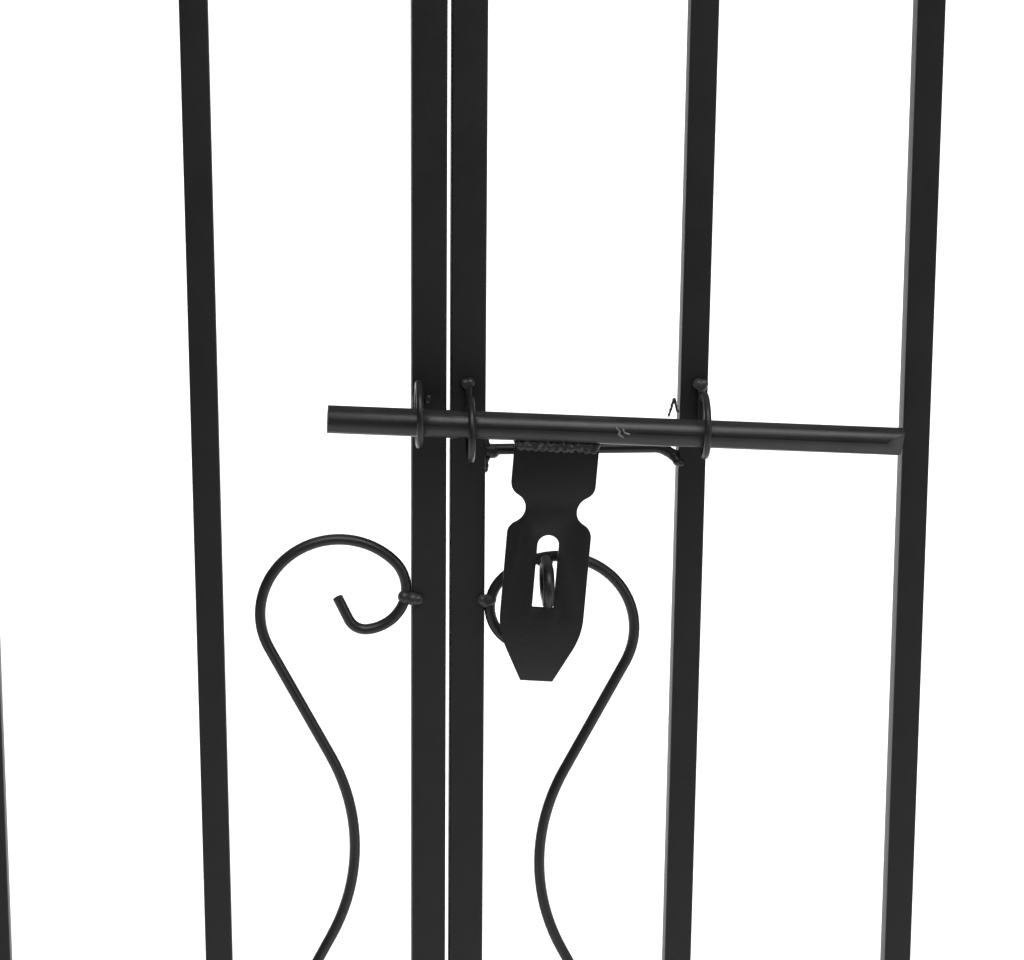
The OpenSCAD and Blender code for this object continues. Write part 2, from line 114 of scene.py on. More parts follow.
def setUpLights(setup, world):
    for name, (place, aim, width, height, watts) in setup.items():
        lamp = bpy.data.lights.new(name, "AREA")
        lamp.shape = "RECTANGLE"
        lamp.size, lamp.size_y, lamp.energy = width, height, watts
        holder = bpy.data.objects.new(name, lamp)
        holder.location = place
        holder.rotation_euler = (Vector(aim) - Vector(place)).to_track_quat("-Z", "Y").to_euler()
        holder.visible_glossy = name != "backWash"      # it lights the floor, and isn't mirrored in the steel
        bpy.context.scene.collection.objects.link(holder)
    sky = bpy.data.worlds.new("studioAir")
    sky.use_nodes = True
    air = sky.node_tree.nodes["Background"]
    air.inputs["Color"].default_value = (*world["colour"], 1)
    air.inputs["Strength"].default_value = world["strength"]
    bpy.context.scene.world = sky
    bpy.context.scene.view_settings.view_transform = "Standard"
    bpy.context.scene.view_settings.look = "None"


setUpCamera(cameraSetup)
setUpLights(lightSetup, worldSetup)
print("camera and lights set")

# ---- finishes ----


class Value:
    # a shader socket that can be used in sums
    def __init__(self, tree, socket):
        self.tree, self.socket = tree, socket

    def sum(self, kind, first, second=0.0):
        node = self.tree.nodes.new("ShaderNodeMath")
        node.operation = kind
        for socket, value in zip(node.inputs, (first, second)):
            if isinstance(value, Value):
                self.tree.links.new(value.socket, socket)
            else:
                socket.default_value = value
        return Value(self.tree, node.outputs[0])

    def __add__(self, other): return self.sum("ADD", self, other)
    def __radd__(self, other): return self.sum("ADD", other, self)
    def __sub__(self, other): return self.sum("SUBTRACT", self, other)
    def __rsub__(self, other): return self.sum("SUBTRACT", other, self)
    def __mul__(self, other): return self.sum("MULTIPLY", self, other)
    def __rmul__(self, other): return self.sum("MULTIPLY", other, self)
    def __truediv__(self, other): return self.sum("DIVIDE", self, other)
    def __abs__(self): return self.sum("ABSOLUTE", self)
    def atLeast(self, other): return self.sum("MAXIMUM", self, other)


class Finish:
    # one material and its nodes
    def __init__(self, name):
        self.material = bpy.data.materials.new(name)
        self.material.use_nodes = True
        self.tree = self.material.node_tree
        self.shader = self.tree.nodes["Principled BSDF"]

    def node(self, kind, settings=None, **sockets):
        made = self.tree.nodes.new(kind)
        for key, value in (settings or {}).items():
            setattr(made, key, value)
        for key, value in sockets.items():
            self.feed(made.inputs[int(key[1:])] if key[0] == "_" else made.inputs[key], value)
        return made

    def feed(self, socket, value):
        if isinstance(value, Value):
            self.tree.links.new(value.socket, socket)
        elif isinstance(value, (tuple, list)) and len(value) == 3 and socket.type == "RGBA":
            socket.default_value = (*value, 1)
        else:
            socket.default_value = value

    def out(self, made, key=0):
        return Value(self.tree, made.outputs[key])

    def place(self):
        return self.out(self.node("ShaderNodeTexCoord"), "Object")

    def noise(self, where, scale, detail=3.0, roughness=0.5):
        made = self.node("ShaderNodeTexNoise", Vector=where, Scale=scale, Detail=detail, Roughness=roughness)
        return self.out(made)

    def ramp(self, value, low, high, start=0.0, end=1.0):
        made = self.node("ShaderNodeMapRange", {"interpolation_type": "SMOOTHSTEP", "clamp": True},
                         _0=value, _1=low, _2=high, _3=start, _4=end)
        return self.out(made)

    def blend(self, amount, first, second):
        made = self.node("ShaderNodeMix", {"data_type": "RGBA"}, _0=amount)
        self.feed(made.inputs[6], first)
        self.feed(made.inputs[7], second)
        return Value(self.tree, made.outputs[2])

    def mapped(self, where, turn=(0, 0, 0), scale=(1, 1, 1), start=(0, 0, 0)):
        made = self.node("ShaderNodeMapping", {"vector_type": "POINT"}, Vector=where)
        made.inputs["Location"].default_value = start
        made.inputs["Rotation"].default_value = turn
        made.inputs["Scale"].default_value = scale
        return self.out(made)

    def split(self, where):
        made = self.node("ShaderNodeSeparateXYZ", Vector=where)
        return [self.out(made, i) for i in range(3)]

    def facingUp(self):
        made = self.node("ShaderNodeNewGeometry")
        return self.split(self.out(made, "Normal"))[2].atLeast(0.0)

    def bump(self, height, distance, strength=1.0, under=None):
        made = self.node("ShaderNodeBump", Height=height, Distance=distance, Strength=strength)
        if under:
            self.feed(made.inputs["Normal"], under)
        return self.out(made)

    def paint(self, **sockets):
        for key, value in sockets.items():
            self.feed(self.shader.inputs[key.replace("_", " ")], value)
        return self.material


coatLooks = {
    # deep and pale: the two ends of the black; peel: size of the powder's ripple, in waves per metre
    "leafCoat": {"deep": (0.0040, 0.0039, 0.0039), "pale": (0.0068, 0.0067, 0.0066),
                 "rough": 0.50, "spread": 0.16, "peel": 520.0, "height": 0.00005, "dust": 0.10, "pit": 0.5},
    "rodCoat": {"deep": (0.0100, 0.0100, 0.0105), "pale": (0.0160, 0.0160, 0.0165),
                 "rough": 0.36, "spread": 0.14, "peel": 620.0, "height": 0.00004, "dust": 0.08, "pit": 0.4},
    "hingeCoat": {"deep": (0.0110, 0.0108, 0.0108), "pale": (0.0190, 0.0185, 0.0180),
                 "rough": 0.46, "spread": 0.20, "peel": 480.0, "height": 0.00006, "dust": 0.14, "pit": 0.6},
    "postCoat": {"deep": (0.0110, 0.0110, 0.0115), "pale": (0.0180, 0.0180, 0.0182),
                 "rough": 0.48, "spread": 0.18, "peel": 420.0, "height": 0.00007, "dust": 0.22, "pit": 0.6},
    # weld beads: the same black powder coat painted lighter, a painted highlight for the light the lumps
    # catch
    "weldCoatPaintedHighlight": {"deep": (0.0130, 0.0130, 0.0132), "pale": (0.0380, 0.0375, 0.0368),
                 "rough": 0.36, "spread": 0.22, "peel": 760.0, "height": 0.00009, "dust": 0.12, "pit": 1.0},
}
dustColour = (0.060, 0.058, 0.054)
bareSteel = (0.36, 0.355, 0.345)


def coatBase(finish, look):
    # clouds in the black, powder ripple, small pits and a little dust on what faces up
    place = finish.place()
    cloud = finish.noise(place, 11.0, 5.0, 0.6)
    blotch = finish.noise(place, 60.0, 3.0, 0.55)
    peel = finish.noise(place, look["peel"], 2.0, 0.45)
    pit = finish.ramp(finish.noise(place, look["peel"] * 0.55, 1.0, 0.5), 0.24, 0.36)
    dust = finish.facingUp() * finish.ramp(cloud * 0.6 + blotch * 0.4, 0.38, 0.66) * look["dust"]
    colour = finish.blend(finish.ramp(cloud * 0.65 + blotch * 0.35, 0.34, 0.66), look["deep"], look["pale"])
    colour = finish.blend(dust, colour, dustColour)
    rough = look["rough"] + (cloud - 0.5) * look["spread"] + (peel - 0.5) * 0.10 + dust * 0.8
    height = peel + pit * look["pit"]
    return place, cloud, blotch, colour, rough, height


def powderCoat(name, look):
    finish = Finish(name)
    place, cloud, blotch, colour, rough, height = coatBase(finish, look)
    return finish.paint(Base_Color=colour, Roughness=rough, Metallic=0.0,
                        Normal=finish.bump(height, look["height"]))


boltWear = {
    "slope": math.radians(3.0),      # the bolt falls to the right
    "look": {"deep": (0.0125, 0.0125, 0.0130), "pale": (0.0200, 0.0198, 0.0200),
             "rough": 0.34, "spread": 0.18, "peel": 560.0, "height": 0.00005, "dust": 0.05, "pit": 0.5},
    # centre along the bolt, reach, amount: where the rings rub, where a hand draws it, and the ends
    "rubbed": ((-0.045, 0.030, 0.85), (0.030, 0.034, 0.55), (0.175, 0.036, 0.45), (0.250, 0.014, 0.9)),
}


def latchCoat(name, wear):
    finish = Finish(name)
    place, cloud, blotch, colour, rough, height = coatBase(finish, wear["look"])
    along = finish.mapped(place, turn=(0, -wear["slope"], 0), start=(0, 0, 0))
    x, y, z = finish.split(along)
    rubbed = None
    for centre, reach, amount in wear["rubbed"]:
        spot = finish.ramp(abs(x - centre), reach, reach * 0.35, 0.0, amount)
        rubbed = spot if rubbed is None else rubbed.atLeast(spot)
    streak = finish.noise(finish.mapped(along, scale=(26.0, 900.0, 900.0)), 1.0, 3.0, 0.6)
    scratch = finish.ramp(streak, 0.60, 0.70) * finish.ramp(blotch, 0.40, 0.60) * rubbed
    polish = finish.ramp(blotch * 0.5 + streak * 0.5, 0.40, 0.62) * rubbed
    colour = finish.blend(polish * 0.45, colour, (0.030, 0.030, 0.031))
    colour = finish.blend(scratch * 0.55, colour, (0.14, 0.138, 0.134))
    return finish.paint(Base_Color=colour, Roughness=rough - polish * 0.06 + scratch * 0.08,
                        Metallic=scratch * 0.5,
                        Normal=finish.bump(height - scratch * 0.8, wear["look"]["height"]))


haspLook = {"deep": (0.0022, 0.0021, 0.0020), "pale": (0.0040, 0.0038, 0.0037), "rough": 0.40, "spread": 0.14,
            "peel": 430.0, "height": 0.00006, "dust": 0.05, "pit": 0.4}


def haspCoat(name, look):
    # sheet steel: a faint rolling grain under the powder, and fine rubbing round the slot
    finish = Finish(name)
    place, cloud, blotch, colour, rough, height = coatBase(finish, look)
    grain = finish.noise(finish.mapped(place, scale=(700.0, 700.0, 40.0)), 1.0, 2.0, 0.5)
    x, y, z = finish.split(place)
    slotNear = finish.ramp(abs(x - 0.0555), 0.013, 0.006) * finish.ramp(abs(z - 0.806), 0.036, 0.022)
    rub = slotNear * finish.ramp(blotch, 0.45, 0.70)
    colour = finish.blend(rub * 0.35, colour, (0.040, 0.039, 0.038))
    return finish.paint(Base_Color=colour, Roughness=rough - rub * 0.08, Metallic=0.0,
                        Normal=finish.bump(height + grain * 0.35, look["height"]))


def greasedSteel(name):
    finish = Finish(name)
    place = finish.place()
    rings = finish.noise(finish.mapped(place, scale=(90.0, 90.0, 2600.0)), 1.0, 3.0, 0.6)
    stain = finish.ramp(finish.noise(place, 160.0, 4.0, 0.6), 0.40, 0.62)
    colour = finish.blend(stain, bareSteel, (0.085, 0.070, 0.050))
    return finish.paint(Base_Color=colour, Roughness=0.28 + rings * 0.18 + stain * 0.15,
                        Metallic=1.0 - stain * 0.55, Normal=finish.bump(rings, 0.00004))


def capPlastic(name):
    # moulded black plastic: fine spark texture and sun-faded tops
    finish = Finish(name)
    place = finish.place()
    spark = finish.noise(place, 1500.0, 2.0, 0.6)
    cloud = finish.noise(place, 40.0, 4.0, 0.6)
    fade = finish.facingUp() * finish.ramp(cloud, 0.35, 0.7)
    colour = finish.blend(fade * 0.5, (0.016, 0.016, 0.016), (0.042, 0.041, 0.040))
    return finish.paint(Base_Color=colour, Roughness=0.56 + fade * 0.14 + (spark - 0.5) * 0.12, Metallic=0.0,
                        Normal=finish.bump(spark, 0.00006))


def nickedSteel(name):
    finish = Finish(name)
    place = finish.place()
    file = finish.noise(place, 2200.0, 3.0, 0.6)
    colour = finish.blend(finish.ramp(file, 0.35, 0.65), (0.05, 0.05, 0.05), (0.42, 0.41, 0.40))
    return finish.paint(Base_Color=colour, Roughness=0.30 + file * 0.2, Metallic=0.55,
                        Normal=finish.bump(file, 0.00008))


def paleFloor(name, setup):
    finish = Finish(name)
    place = finish.place()
    cloud = finish.noise(place, 0.8, 4.0, 0.55)
    grit = finish.noise(place, 90.0, 3.0, 0.6)
    colour = finish.blend(finish.ramp(cloud * 0.7 + grit * 0.3, 0.3, 0.7), setup["shade"], setup["pale"])
    x, y, z = finish.split(place)
    # painted shade: the floor's colour turns to frontShade in front of the gate, so the steel mirrors a
    # darker floor
    front = finish.ramp(y, setup["frontEdge"], setup["frontEdge"] - 0.8)
    colour = finish.blend(front, colour, setup["frontShade"])
    return finish.paint(Base_Color=colour, Roughness=0.62 + (grit - 0.5) * 0.1,
                        Normal=finish.bump(grit, 0.0002))


coats = {name: powderCoat(name, look) for name, look in coatLooks.items()}
coats["latchCoat"] = latchCoat("latchCoat", boltWear)
coats["haspCoat"] = haspCoat("haspCoat", haspLook)
coats["washerSteel"] = greasedSteel("washerSteel")
coats["capPlastic"] = capPlastic("capPlastic")
coats["nickedSteel"] = nickedSteel("nickedSteel")
print("finishes made:", len(coats))


def dress(piece, coat):
    piece.data.materials.clear()
    piece.data.materials.append(coats[coat])


def finishPiece(piece, body, coat, slotName, stands=None, smooth=35.0):
    settle(piece)
    bpy.ops.object.shade_smooth_by_angle(angle=math.radians(smooth))
    dress(piece, coat)
    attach(piece, body)
    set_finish(piece, slotName)
    if stands:
        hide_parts(stands)
    return piece


def pickEdges(piece, wanted):
    # piece is in edit mode; wanted is asked with both ends of each edge
    bpy.ops.mesh.select_mode(type="EDGE")
    shape = bmesh.from_edit_mesh(piece.data)
    for edge in shape.edges:
        edge.select_set(False)
    for edge in shape.edges:
        if wanted(edge.verts[0].co, edge.verts[1].co):
            edge.select_set(True)
    bmesh.update_edit_mesh(piece.data)


def applyModifier(piece, kind, **settings):
    made = piece.modifiers.new(kind.lower(), kind)
    for key, value in settings.items():
        setattr(made, key, value)
    takeHold(piece)
    bpy.ops.object.modifier_apply(modifier=made.name)


def bodyOf(nodeName):
    for body, members in frame["record"]["behaviour"]["bodies"].items():
        if nodeName in members:
            return body


# ---- floor ----

bpy.ops.mesh.primitive_plane_add(size=floorSetup["size"], location=(0, 0, -floorSetup["drop"]))
floor = bpy.context.object
floor.name = "studio_floor"
settle(floor)
floor.data.materials.append(paleFloor("paleFloor", floorSetup))

# ---- tubes with rolled corners ----

tubeSetup = {
    # kind of tube: corner radius, coat, slot
    "stile": (0.0014, "leafCoat", "leaf_coat"),
    "bar": (0.0011, "leafCoat", "leaf_coat"),
    "rail": (0.0014, "leafCoat", "leaf_coat"),
    "post": (0.0040, "postCoat", "post_coat"),
}
tubes = {
    "meeting_stile": "stile", "hinge_stile": "stile", "inner_bar": "bar", "outer_bar": "bar",
    "bottom_rail": "rail", "post": "post",
}


def cornerOrder(place):
    return (place.z > 0, place.y > 0, place.x > 0)


def barCorners(nodeName):
    # outer corners of a bar's foot and head: front left, front right, back left, back right
    spots = [v.co for v in cadNodes[nodeName].data.vertices]
    middleZ = (min(v.z for v in spots) + max(v.z for v in spots)) / 2
    front, back = min(v.y for v in spots), max(v.y for v in spots)
    corners = []
    for upper in (False, True):
        for y in (front, back):
            face = [v for v in spots if (v.z > middleZ) == upper and abs(v.y - y) < 0.0001]
            corners += [min(face, key=lambda v: v.x), max(face, key=lambda v: v.x)]
    return [c.copy() for c in corners]


def rolledTube(nodeName, radius, coat, slotName):
    low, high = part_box(nodeName)
    size = high - low
    long = max(range(3), key=lambda i: size[i])
    clearSelection()
    bpy.ops.mesh.primitive_cube_add(size=1, location=(low + high) / 2, scale=size)
    tube = bpy.context.object
    tube.name = nodeName + "_tube"
    settle(tube)
    if nodeName.endswith("bar"):
        # infill bars lean, and the arch cuts their heads
        middle = (low + high) / 2
        spots = sorted(tube.data.vertices, key=lambda v: cornerOrder(v.co - middle))
        for corner, spot in zip(barCorners(nodeName), spots):
            spot.co = corner
    bpy.ops.object.mode_set(mode="EDIT")
    pickEdges(tube, lambda a, b: abs(a[long] - b[long]) > size[long] * 0.9)
    bpy.ops.mesh.bevel(offset=radius, offset_type="OFFSET", segments=6, profile=0.5, affect="EDGES")
    bpy.ops.object.mode_set(mode="OBJECT")
    return finishPiece(tube, bodyOf(nodeName), coat, slotName, nodeName)


for side in ("left", "right"):
    for part, kind in tubes.items():
        rolledTube(side + "_" + part, *tubeSetup[kind])
print("rolled tubes made")

# ---- arch rails ----

# the arch is one circle: its top is over the middle of the gate, and it drops to the hinge stiles' middles
archSetup = {"top": 1.500, "drop": 0.120, "tube": 0.020, "corner": 0.0014, "steps": 56, "sweep": 36.0}
stileLow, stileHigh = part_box("right_hinge_stile")
archReach = (stileLow.x + stileHigh.x) / 2
archSetup["radius"] = round((archReach ** 2 + archSetup["drop"] ** 2) / (2 * archSetup["drop"]), 6)
archSetup["centreHeight"] = round(archSetup["top"] - archSetup["radius"], 6)


def archHeight(x, inward=0.0):
    return archSetup["centreHeight"] + math.sqrt((archSetup["radius"] - inward) ** 2 - x ** 2)


def archRail(nodeName, setup):
    # a rounded square spun about the arch's centre and cut off square to the stiles
    low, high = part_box("right_arch_rail")
    middle = setup["centreHeight"] + setup["radius"] - setup["tube"] / 2
    clearSelection()
    bpy.ops.mesh.primitive_plane_add(size=setup["tube"], location=(0, 0, middle),
                                     rotation=(0, math.pi / 2, 0))
    rail = bpy.context.object
    rail.name = nodeName + "_tube"
    settle(rail)
    bpy.ops.object.mode_set(mode="EDIT")
    bpy.ops.mesh.select_all(action="SELECT")
    bpy.ops.mesh.bevel(offset=setup["corner"], offset_type="OFFSET", segments=6, profile=0.5,
                       affect="VERTICES")
    bpy.ops.mesh.select_all(action="SELECT")
    bpy.ops.mesh.spin(steps=setup["steps"], angle=math.radians(setup["sweep"]),
                      center=(0, 0, setup["centreHeight"]), axis=(0, 1, 0))
    bpy.ops.object.mode_set(mode="OBJECT")
    if max(v.co.x for v in rail.data.vertices) < 0.1:      # spun the other way
        for v in rail.data.vertices:
            v.co.x = -v.co.x
    bpy.ops.object.mode_set(mode="EDIT")
    for place, outward in ((low.x, -1), (high.x, 1)):
        bpy.ops.mesh.select_all(action="SELECT")
        bpy.ops.mesh.bisect(plane_co=(place, 0, 0), plane_no=(outward, 0, 0), use_fill=True, clear_outer=True)
    bpy.ops.mesh.select_all(action="SELECT")
    bpy.ops.mesh.remove_doubles(threshold=0.00001)
    if nodeName.startswith("left"):
        bpy.ops.transform.resize(value=(-1, 1, 1), center_override=(0, 0, 0))
    bpy.ops.mesh.normals_make_consistent(inside=False)
    bpy.ops.object.mode_set(mode="OBJECT")
    return finishPiece(rail, bodyOf(nodeName), "leafCoat", "leaf_coat", nodeName)


for side in ("left", "right"):
    archRail(side + "_arch_rail", archSetup)
print("arch rails made")

# ---- pieces with softened edges ----

softened = {
    # node: edge radius, coat, slot
    "post_cap": (0.0009, "postCoat", "post_coat"),
    "base_plate": (0.0009, "postCoat", "post_coat"),
    "base_gussets": (0.0008, "postCoat", "post_coat"),
    "upper_pintle": (0.0006, "hingeCoat", "hinge_coat"),
    "lower_pintle": (0.0006, "hingeCoat", "hinge_coat"),
    "upper_barrel": (0.0006, "hingeCoat", "hinge_coat"),
    "lower_barrel": (0.0006, "hingeCoat", "hinge_coat"),
    "stile_caps": (0.0010, "capPlastic", "cap_plastic"),
}


def softEdged(nodeName, radius, coat, slotName, segments=3):
    source = cadNodes[nodeName]
    piece = bpy.data.objects.new(nodeName + "_softened", source.data.copy())
    bpy.context.scene.collection.objects.link(piece)
    takeHold(piece)
    bpy.ops.object.mode_set(mode="EDIT")
    bpy.ops.mesh.select_all(action="SELECT")
    bpy.ops.mesh.remove_doubles(threshold=0.000002)
    bpy.ops.mesh.dissolve_limited(angle_limit=math.radians(0.5))
    bpy.ops.object.mode_set(mode="OBJECT")
    applyModifier(piece, "BEVEL", width=radius, segments=segments, limit_method="ANGLE",
                  angle_limit=math.radians(38), use_clamp_overlap=True)
    return finishPiece(piece, bodyOf(nodeName), coat, slotName, nodeName, smooth=38.0)


for side in ("left", "right"):
    for part, (radius, coat, slotName) in softened.items():
        softEdged(side + "_" + part, radius, coat, slotName)
softEdged("hasp_plate", 0.0007, "haspCoat", "latch_coat")
softEdged("bolt_tube", 0.0004, "latchCoat", "latch_coat", segments=2)
print("softened pieces made")

# ---- rods, rings and washers keep their own shape and get their finish ----

rodCoats = {
    "left_scroll": "rodCoat", "right_scroll": "rodCoat", "cross_rod": "rodCoat", "hasp_staple": "rodCoat",
    "keeper_ring": "rodCoat", "inner_bolt_ring": "rodCoat", "outer_bolt_ring": "rodCoat",
    "left_thrust_washers": "washerSteel", "right_thrust_washers": "washerSteel",
}
for nodeName, coat in rodCoats.items():
    dress(cadNodes[nodeName], coat)
print("rods and rings dressed")

# ---- weld beads ----

weldSetup = {"fine": 0.24, "step": 0.75, "wander": 0.16, "swell": 0.22}


def alongPath(points, step, closed):
    corners = [Vector(p) for p in points] + ([Vector(points[0])] if closed else [])
    spots = []
    for start, end in zip(corners, corners[1:]):
        count = max(1, round((end - start).length / step))
        spots += [start.lerp(end, i / count) for i in range(count)]
    return spots if closed else spots + [corners[-1]]


def weldBead(name, body, points, size, seed, closed=False, coat="weldCoatPaintedHighlight", slotName="leaf_coat"):
    # a row of melted drops, run together
    luck = random.Random(seed)
    clearSelection()
    bead = None
    for spot in alongPath(points, size * weldSetup["step"], closed):
        wander = Vector([luck.uniform(-1, 1) * weldSetup["wander"] * size for _ in range(3)])
        drop = size * (1 + luck.uniform(-1, 1) * weldSetup["swell"])
        bpy.ops.mesh.primitive_ico_sphere_add(subdivisions=2, radius=drop, location=spot + wander)
        if bead is None:
            bead = bpy.context.object
            bead.name = name
            bpy.ops.object.mode_set(mode="EDIT")
    bpy.ops.object.mode_set(mode="OBJECT")
    settle(bead)
    applyModifier(bead, "REMESH", mode="VOXEL", voxel_size=size * weldSetup["fine"])
    applyModifier(bead, "SMOOTH", factor=0.5, iterations=3)
    return finishPiece(bead, body, coat, slotName, smooth=80.0)


def copyOfBead(bead, name, body, shift=(0, 0, 0), mirrored=False):
    # mirrored copies go to the other side of the gate; shift comes first
    twin = bpy.data.objects.new(name, bead.data.copy())
    bpy.context.scene.collection.objects.link(twin)
    takeHold(twin)
    bpy.ops.object.mode_set(mode="EDIT")
    bpy.ops.mesh.select_all(action="SELECT")
    bpy.ops.transform.translate(value=shift)
    if mirrored:
        bpy.ops.transform.resize(value=(-1, 1, 1), center_override=(0, 0, 0))
        bpy.ops.mesh.normals_make_consistent(inside=False)
    bpy.ops.object.mode_set(mode="OBJECT")
    return finishPiece(twin, body, bead.active_material.name, bead["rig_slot"], smooth=80.0)


def square(x, y, z, halfX, halfY):
    return [(x - halfX, y - halfY, z), (x + halfX, y - halfY, z),
            (x + halfX, y + halfY, z), (x - halfX, y + halfY, z)]


def onLeftLeaf(bead, name, shift=(0, 0, 0)):
    copyOfBead(bead, "left_" + name, "left_leaf", shift, mirrored=True)


frameWelds = {"bar": 0.0018, "rail": 0.0019, "hinge": 0.0017,
              "post": 0.0028, "gusset": 0.0022, "pintle": 0.0020}

# bars to rails, all round the foot and the head
for number, nodeName in enumerate(("right_inner_bar", "right_outer_bar", "left_inner_bar", "left_outer_bar")):
    corners = barCorners(nodeName)
    for end, at in (("foot", 0), ("head", 4)):
        frontLeft, frontRight, backLeft, backRight = corners[at:at + 4]
        weldBead(nodeName + "_" + end + "_weld", bodyOf(nodeName),
                 [frontLeft, frontRight, backRight, backLeft],
                 frameWelds["bar"], 11 + number + at, closed=True)

# rails to stiles
low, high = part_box("right_bottom_rail")
edge = (high.y - low.y) / 2 - 0.0006
railWeld = weldBead("right_rail_inner_weld", "right_leaf",
                    [(low.x, -edge, low.z), (low.x, edge, low.z),
                     (low.x, edge, high.z), (low.x, -edge, high.z)],
                    frameWelds["rail"], 31, closed=True)
onLeftLeaf(railWeld, "rail_inner_weld")
copyOfBead(railWeld, "right_rail_outer_weld", "right_leaf", (high.x - low.x, 0, 0))
onLeftLeaf(railWeld, "rail_outer_weld", (high.x - low.x, 0, 0))
for part, x, seed in (("arch_inner", low.x, 41), ("arch_outer", high.x, 42)):
    top, under = archHeight(x), archHeight(x, archSetup["tube"])
    archWeld = weldBead("right_" + part + "_weld", "right_leaf",
                        [(x, -edge, under), (x, edge, under), (x, edge, top), (x, -edge, top)],
                        frameWelds["rail"], seed, closed=True)
    onLeftLeaf(archWeld, part + "_weld")

# barrels to stiles, front and back
low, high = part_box("right_lower_barrel")
upperLow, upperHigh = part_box("right_upper_barrel")
lift = upperLow.z - low.z
for name, y in (("front", -0.0052), ("back", 0.0052)):
    barrelWeld = weldBead("right_lower_barrel_" + name + "_weld", "right_leaf",
                          [(low.x + 0.0010, y, low.z + 0.004), (low.x + 0.0010, y, high.z - 0.004)],
                          frameWelds["hinge"], 51 if y < 0 else 52, slotName="hinge_coat")
    onLeftLeaf(barrelWeld, "lower_barrel_" + name + "_weld")
    copyOfBead(barrelWeld, "right_upper_barrel_" + name + "_weld", "right_leaf", (0, 0, lift))
    onLeftLeaf(barrelWeld, "upper_barrel_" + name + "_weld", (0, 0, lift))

# pintles, posts and gussets
low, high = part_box("right_lower_pintle")
postLow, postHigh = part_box("right_post")
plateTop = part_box("right_base_plate")[1].z
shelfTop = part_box("right_thrust_washers")[0].z
armHalf = 0.0041
pintleWeld = weldBead("right_lower_pintle_weld", "posts",
                      [(postLow.x, -armHalf, shelfTop - 0.001), (postLow.x, armHalf, shelfTop - 0.001),
                       (postLow.x, armHalf, low.z + 0.001), (postLow.x, -armHalf, low.z + 0.001)],
                      frameWelds["pintle"], 61, closed=True, slotName="hinge_coat")
copyOfBead(pintleWeld, "left_lower_pintle_weld", "posts", mirrored=True)
copyOfBead(pintleWeld, "right_upper_pintle_weld", "posts", (0, 0, lift))
copyOfBead(pintleWeld, "left_upper_pintle_weld", "posts", (0, 0, lift), mirrored=True)
postMiddle = (postLow.x + postHigh.x) / 2
postHalf = (postHigh.x - postLow.x) / 2 - 0.001
postWeld = weldBead("right_post_foot_weld", "posts", square(postMiddle, 0, plateTop, postHalf, postHalf),
                    frameWelds["post"], 71, closed=True, slotName="post_coat")
copyOfBead(postWeld, "left_post_foot_weld", "posts", mirrored=True)
gussetLow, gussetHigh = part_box("right_base_gussets")
gussetHalf = (gussetHigh.x - gussetLow.x) / 2
for name, way in (("front", -1), ("back", 1)):
    for flank, out in (("left", -1), ("right", 1)):
        x = postMiddle + out * gussetHalf
        gussetWeld = weldBead("right_" + name + "_gusset_" + flank + "_weld", "posts",
                              [(x, way * (gussetHigh.y - 0.002), plateTop),
                               (x, way * (postHalf + 0.002), plateTop),
                               (x, way * (postHalf + 0.001), gussetHigh.z - 0.004)],
                              frameWelds["gusset"], 81 + way + 3 * out, slotName="post_coat")
        copyOfBead(gussetWeld, "left_" + name + "_gusset_" + flank + "_weld", "posts", mirrored=True)
print("frame welds made")

# the latch's own welds
latchWelds = {
    # name: body, points, size, seed
    "keeper_left_weld": ("left_leaf", [(-0.0198, -0.0104, 0.9010), (-0.0198, -0.0104, 0.9110)], 0.0012, 101),
    "keeper_right_weld": ("left_leaf", [(-0.0160, -0.0104, 0.9015), (-0.0160, -0.0104, 0.9100)], 0.0013, 102),
    "keeper_spatter": ("left_leaf", [(-0.0126, -0.0101, 0.9086), (-0.0114, -0.0103, 0.9104)], 0.0021, 103),
    "inner_ring_weld": ("right_leaf", [
        (0.0084, -0.0120, 0.9190), (0.0106, -0.0122, 0.9170), (0.0122, -0.0120, 0.9196)], 0.0031, 104),
    "outer_ring_weld": ("right_leaf", [
        (0.1430, -0.0106, 0.9165), (0.1450, -0.0108, 0.9142), (0.1468, -0.0106, 0.9170)], 0.0029, 105),
    "cross_rod_left_fillet": ("right_leaf", [
        (0.0210, -0.0050, 0.8655), (0.0216, -0.0052, 0.8690), (0.0224, -0.0054, 0.8722),
        (0.0232, -0.0054, 0.8750), (0.0232, -0.0054, 0.8786), (0.0220, -0.0052, 0.8815),
        (0.0212, -0.0050, 0.8835)], 0.0019, 106),
    "cross_rod_left_root": ("right_leaf", [
        (0.0222, -0.0044, 0.8762), (0.0256, -0.0042, 0.8764)], 0.0038, 107),
    "cross_rod_right_weld": ("right_leaf", [
        (0.1306, -0.0054, 0.8718), (0.1328, -0.0068, 0.8698), (0.1348, -0.0072, 0.8686)], 0.0034, 108),
    "staple_left_tack": ("right_leaf", [(0.0533, -0.0102, 0.8090), (0.0525, -0.0090, 0.8103)], 0.0021, 109),
    "staple_right_tack": ("right_leaf", [(0.0589, -0.0102, 0.8090), (0.0597, -0.0090, 0.8103)], 0.0021, 110),
}
for name, (body, points, size, seed) in latchWelds.items():
    weldBead(name, body, points, size, seed, slotName="latch_coat")

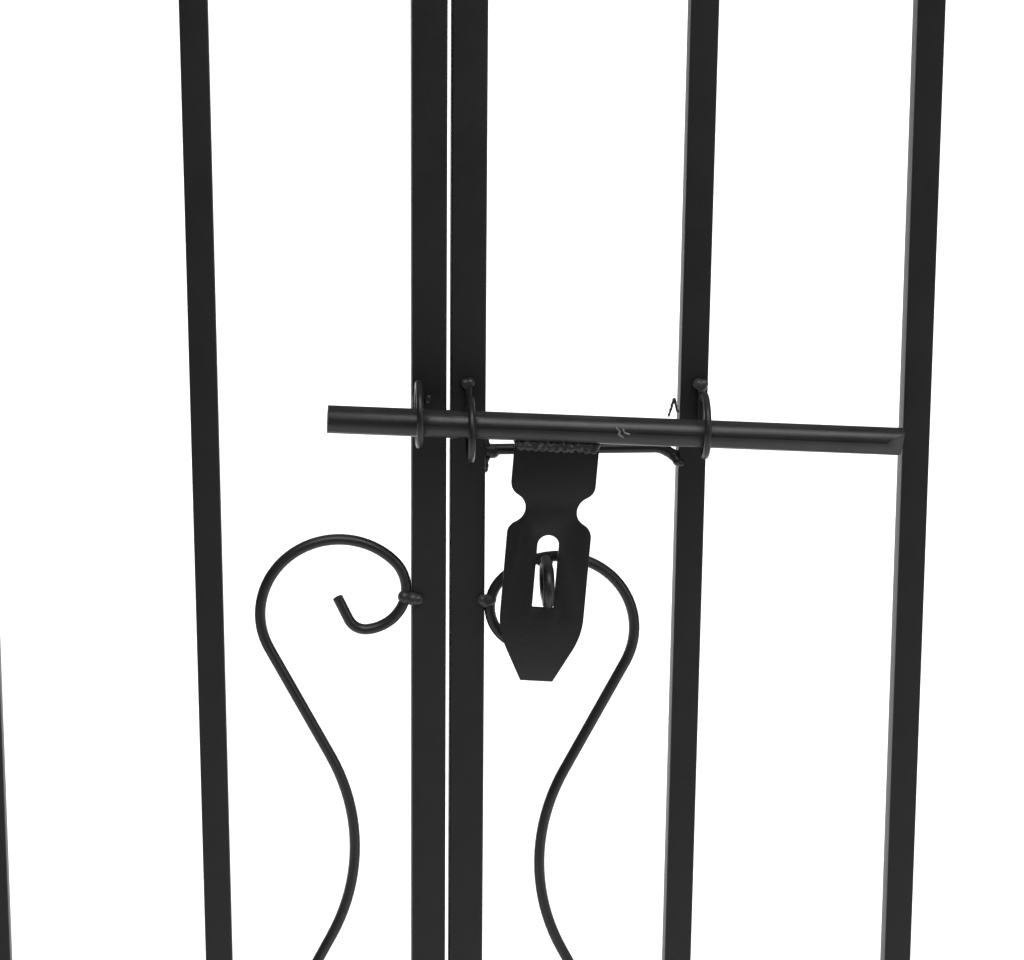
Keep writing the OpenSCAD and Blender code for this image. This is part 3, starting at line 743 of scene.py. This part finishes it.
# each scroll's curls meet their stile: above, a round blob that runs onto the stile's front; below, a bead
scrollTouch = {"right": 0.4583, "left": 0.4703}
scrollBlobs = {
    # name: body, points, size, seed
    "left_scroll_upper_weld": ("left_leaf", [(-0.0250, -0.0078, 0.7888), (-0.0214, -0.0098, 0.7880),
                                             (-0.0172, -0.0106, 0.7876)], 0.0036, 121),
    "right_scroll_upper_weld": ("right_leaf", [(0.0246, -0.0078, 0.7866), (0.0214, -0.0098, 0.7858),
                                               (0.0192, -0.0102, 0.7872)], 0.0034, 122),
}
for name, (body, points, size, seed) in scrollBlobs.items():
    weldBead(name, body, points, size, seed, slotName="rod_coat")
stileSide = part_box("right_meeting_stile")[1].x
lowBead = weldBead("right_scroll_lower_weld", "right_leaf",
                   [(stileSide + 0.0009, y, scrollTouch["right"] + z)
                    for y, z in ((-0.0092, -0.006), (-0.0092, 0.006), (-0.0052, 0.006), (-0.0052, -0.006))],
                   0.0021, 123, closed=True, slotName="rod_coat")
copyOfBead(lowBead, "left_scroll_lower_weld", "left_leaf",
           (0, 0, scrollTouch["left"] - scrollTouch["right"]), mirrored=True)

boltSetup = {"axisY": -0.0295, "axisZ": 0.900, "slope": math.radians(3.0), "radius": 0.008}


def onBolt(along, out, up):
    # a point in the bolt's own frame: along it, out towards the front, and up
    slope = boltSetup["slope"]
    return (along * math.cos(slope) + up * math.sin(slope), boltSetup["axisY"] - out,
            boltSetup["axisZ"] - along * math.sin(slope) + up * math.cos(slope))


# a broad band of weld weaves along the hasp's top, on both faces
haspWeld = {"from": 0.0387, "to": 0.0845, "high": 0.0086, "low": 0.0124, "weaves": 11}


def weavePoints(setup, out):
    steps = 2 * setup["weaves"]
    reach = (setup["to"] - setup["from"]) / steps
    return [onBolt(setup["from"] + i * reach, out, -setup["low" if i % 2 else "high"])
            for i in range(steps + 1)]


for name, out, size, seed in (("front", 0.0010, 0.0021, 131), ("back", -0.0010, 0.0020, 132)):
    weldBead("hasp_" + name + "_weld", "hasp", weavePoints(haspWeld, out), size, seed, slotName="latch_coat")

# two strokes of a nick on the bolt's front, and a thorn of weld wire beside the inner bar
weldBead("bolt_nick_left", "bolt", [onBolt(0.0938, 0.00740, 0.0038), onBolt(0.0962, 0.00780, 0.0016),
                                    onBolt(0.0952, 0.00792, 0.0002), onBolt(0.0978, 0.00792, -0.0014)],
         0.00050, 141,
         coat="nickedSteel", slotName="latch_coat")
weldBead("bolt_nick_right", "bolt", [onBolt(0.0972, 0.00735, 0.0042), onBolt(0.0986, 0.00785, 0.0012),
                                     onBolt(0.1012, 0.00790, 0.0004)], 0.00050, 142,
         coat="nickedSteel", slotName="latch_coat")
weldBead("weld_wire_thorn", "right_leaf", [(0.1272, -0.0060, 0.8965), (0.1302, -0.0062, 0.9068),
                                           (0.1322, -0.0064, 0.8990)], 0.00080, 143, slotName="latch_coat")
print("latch welds made")
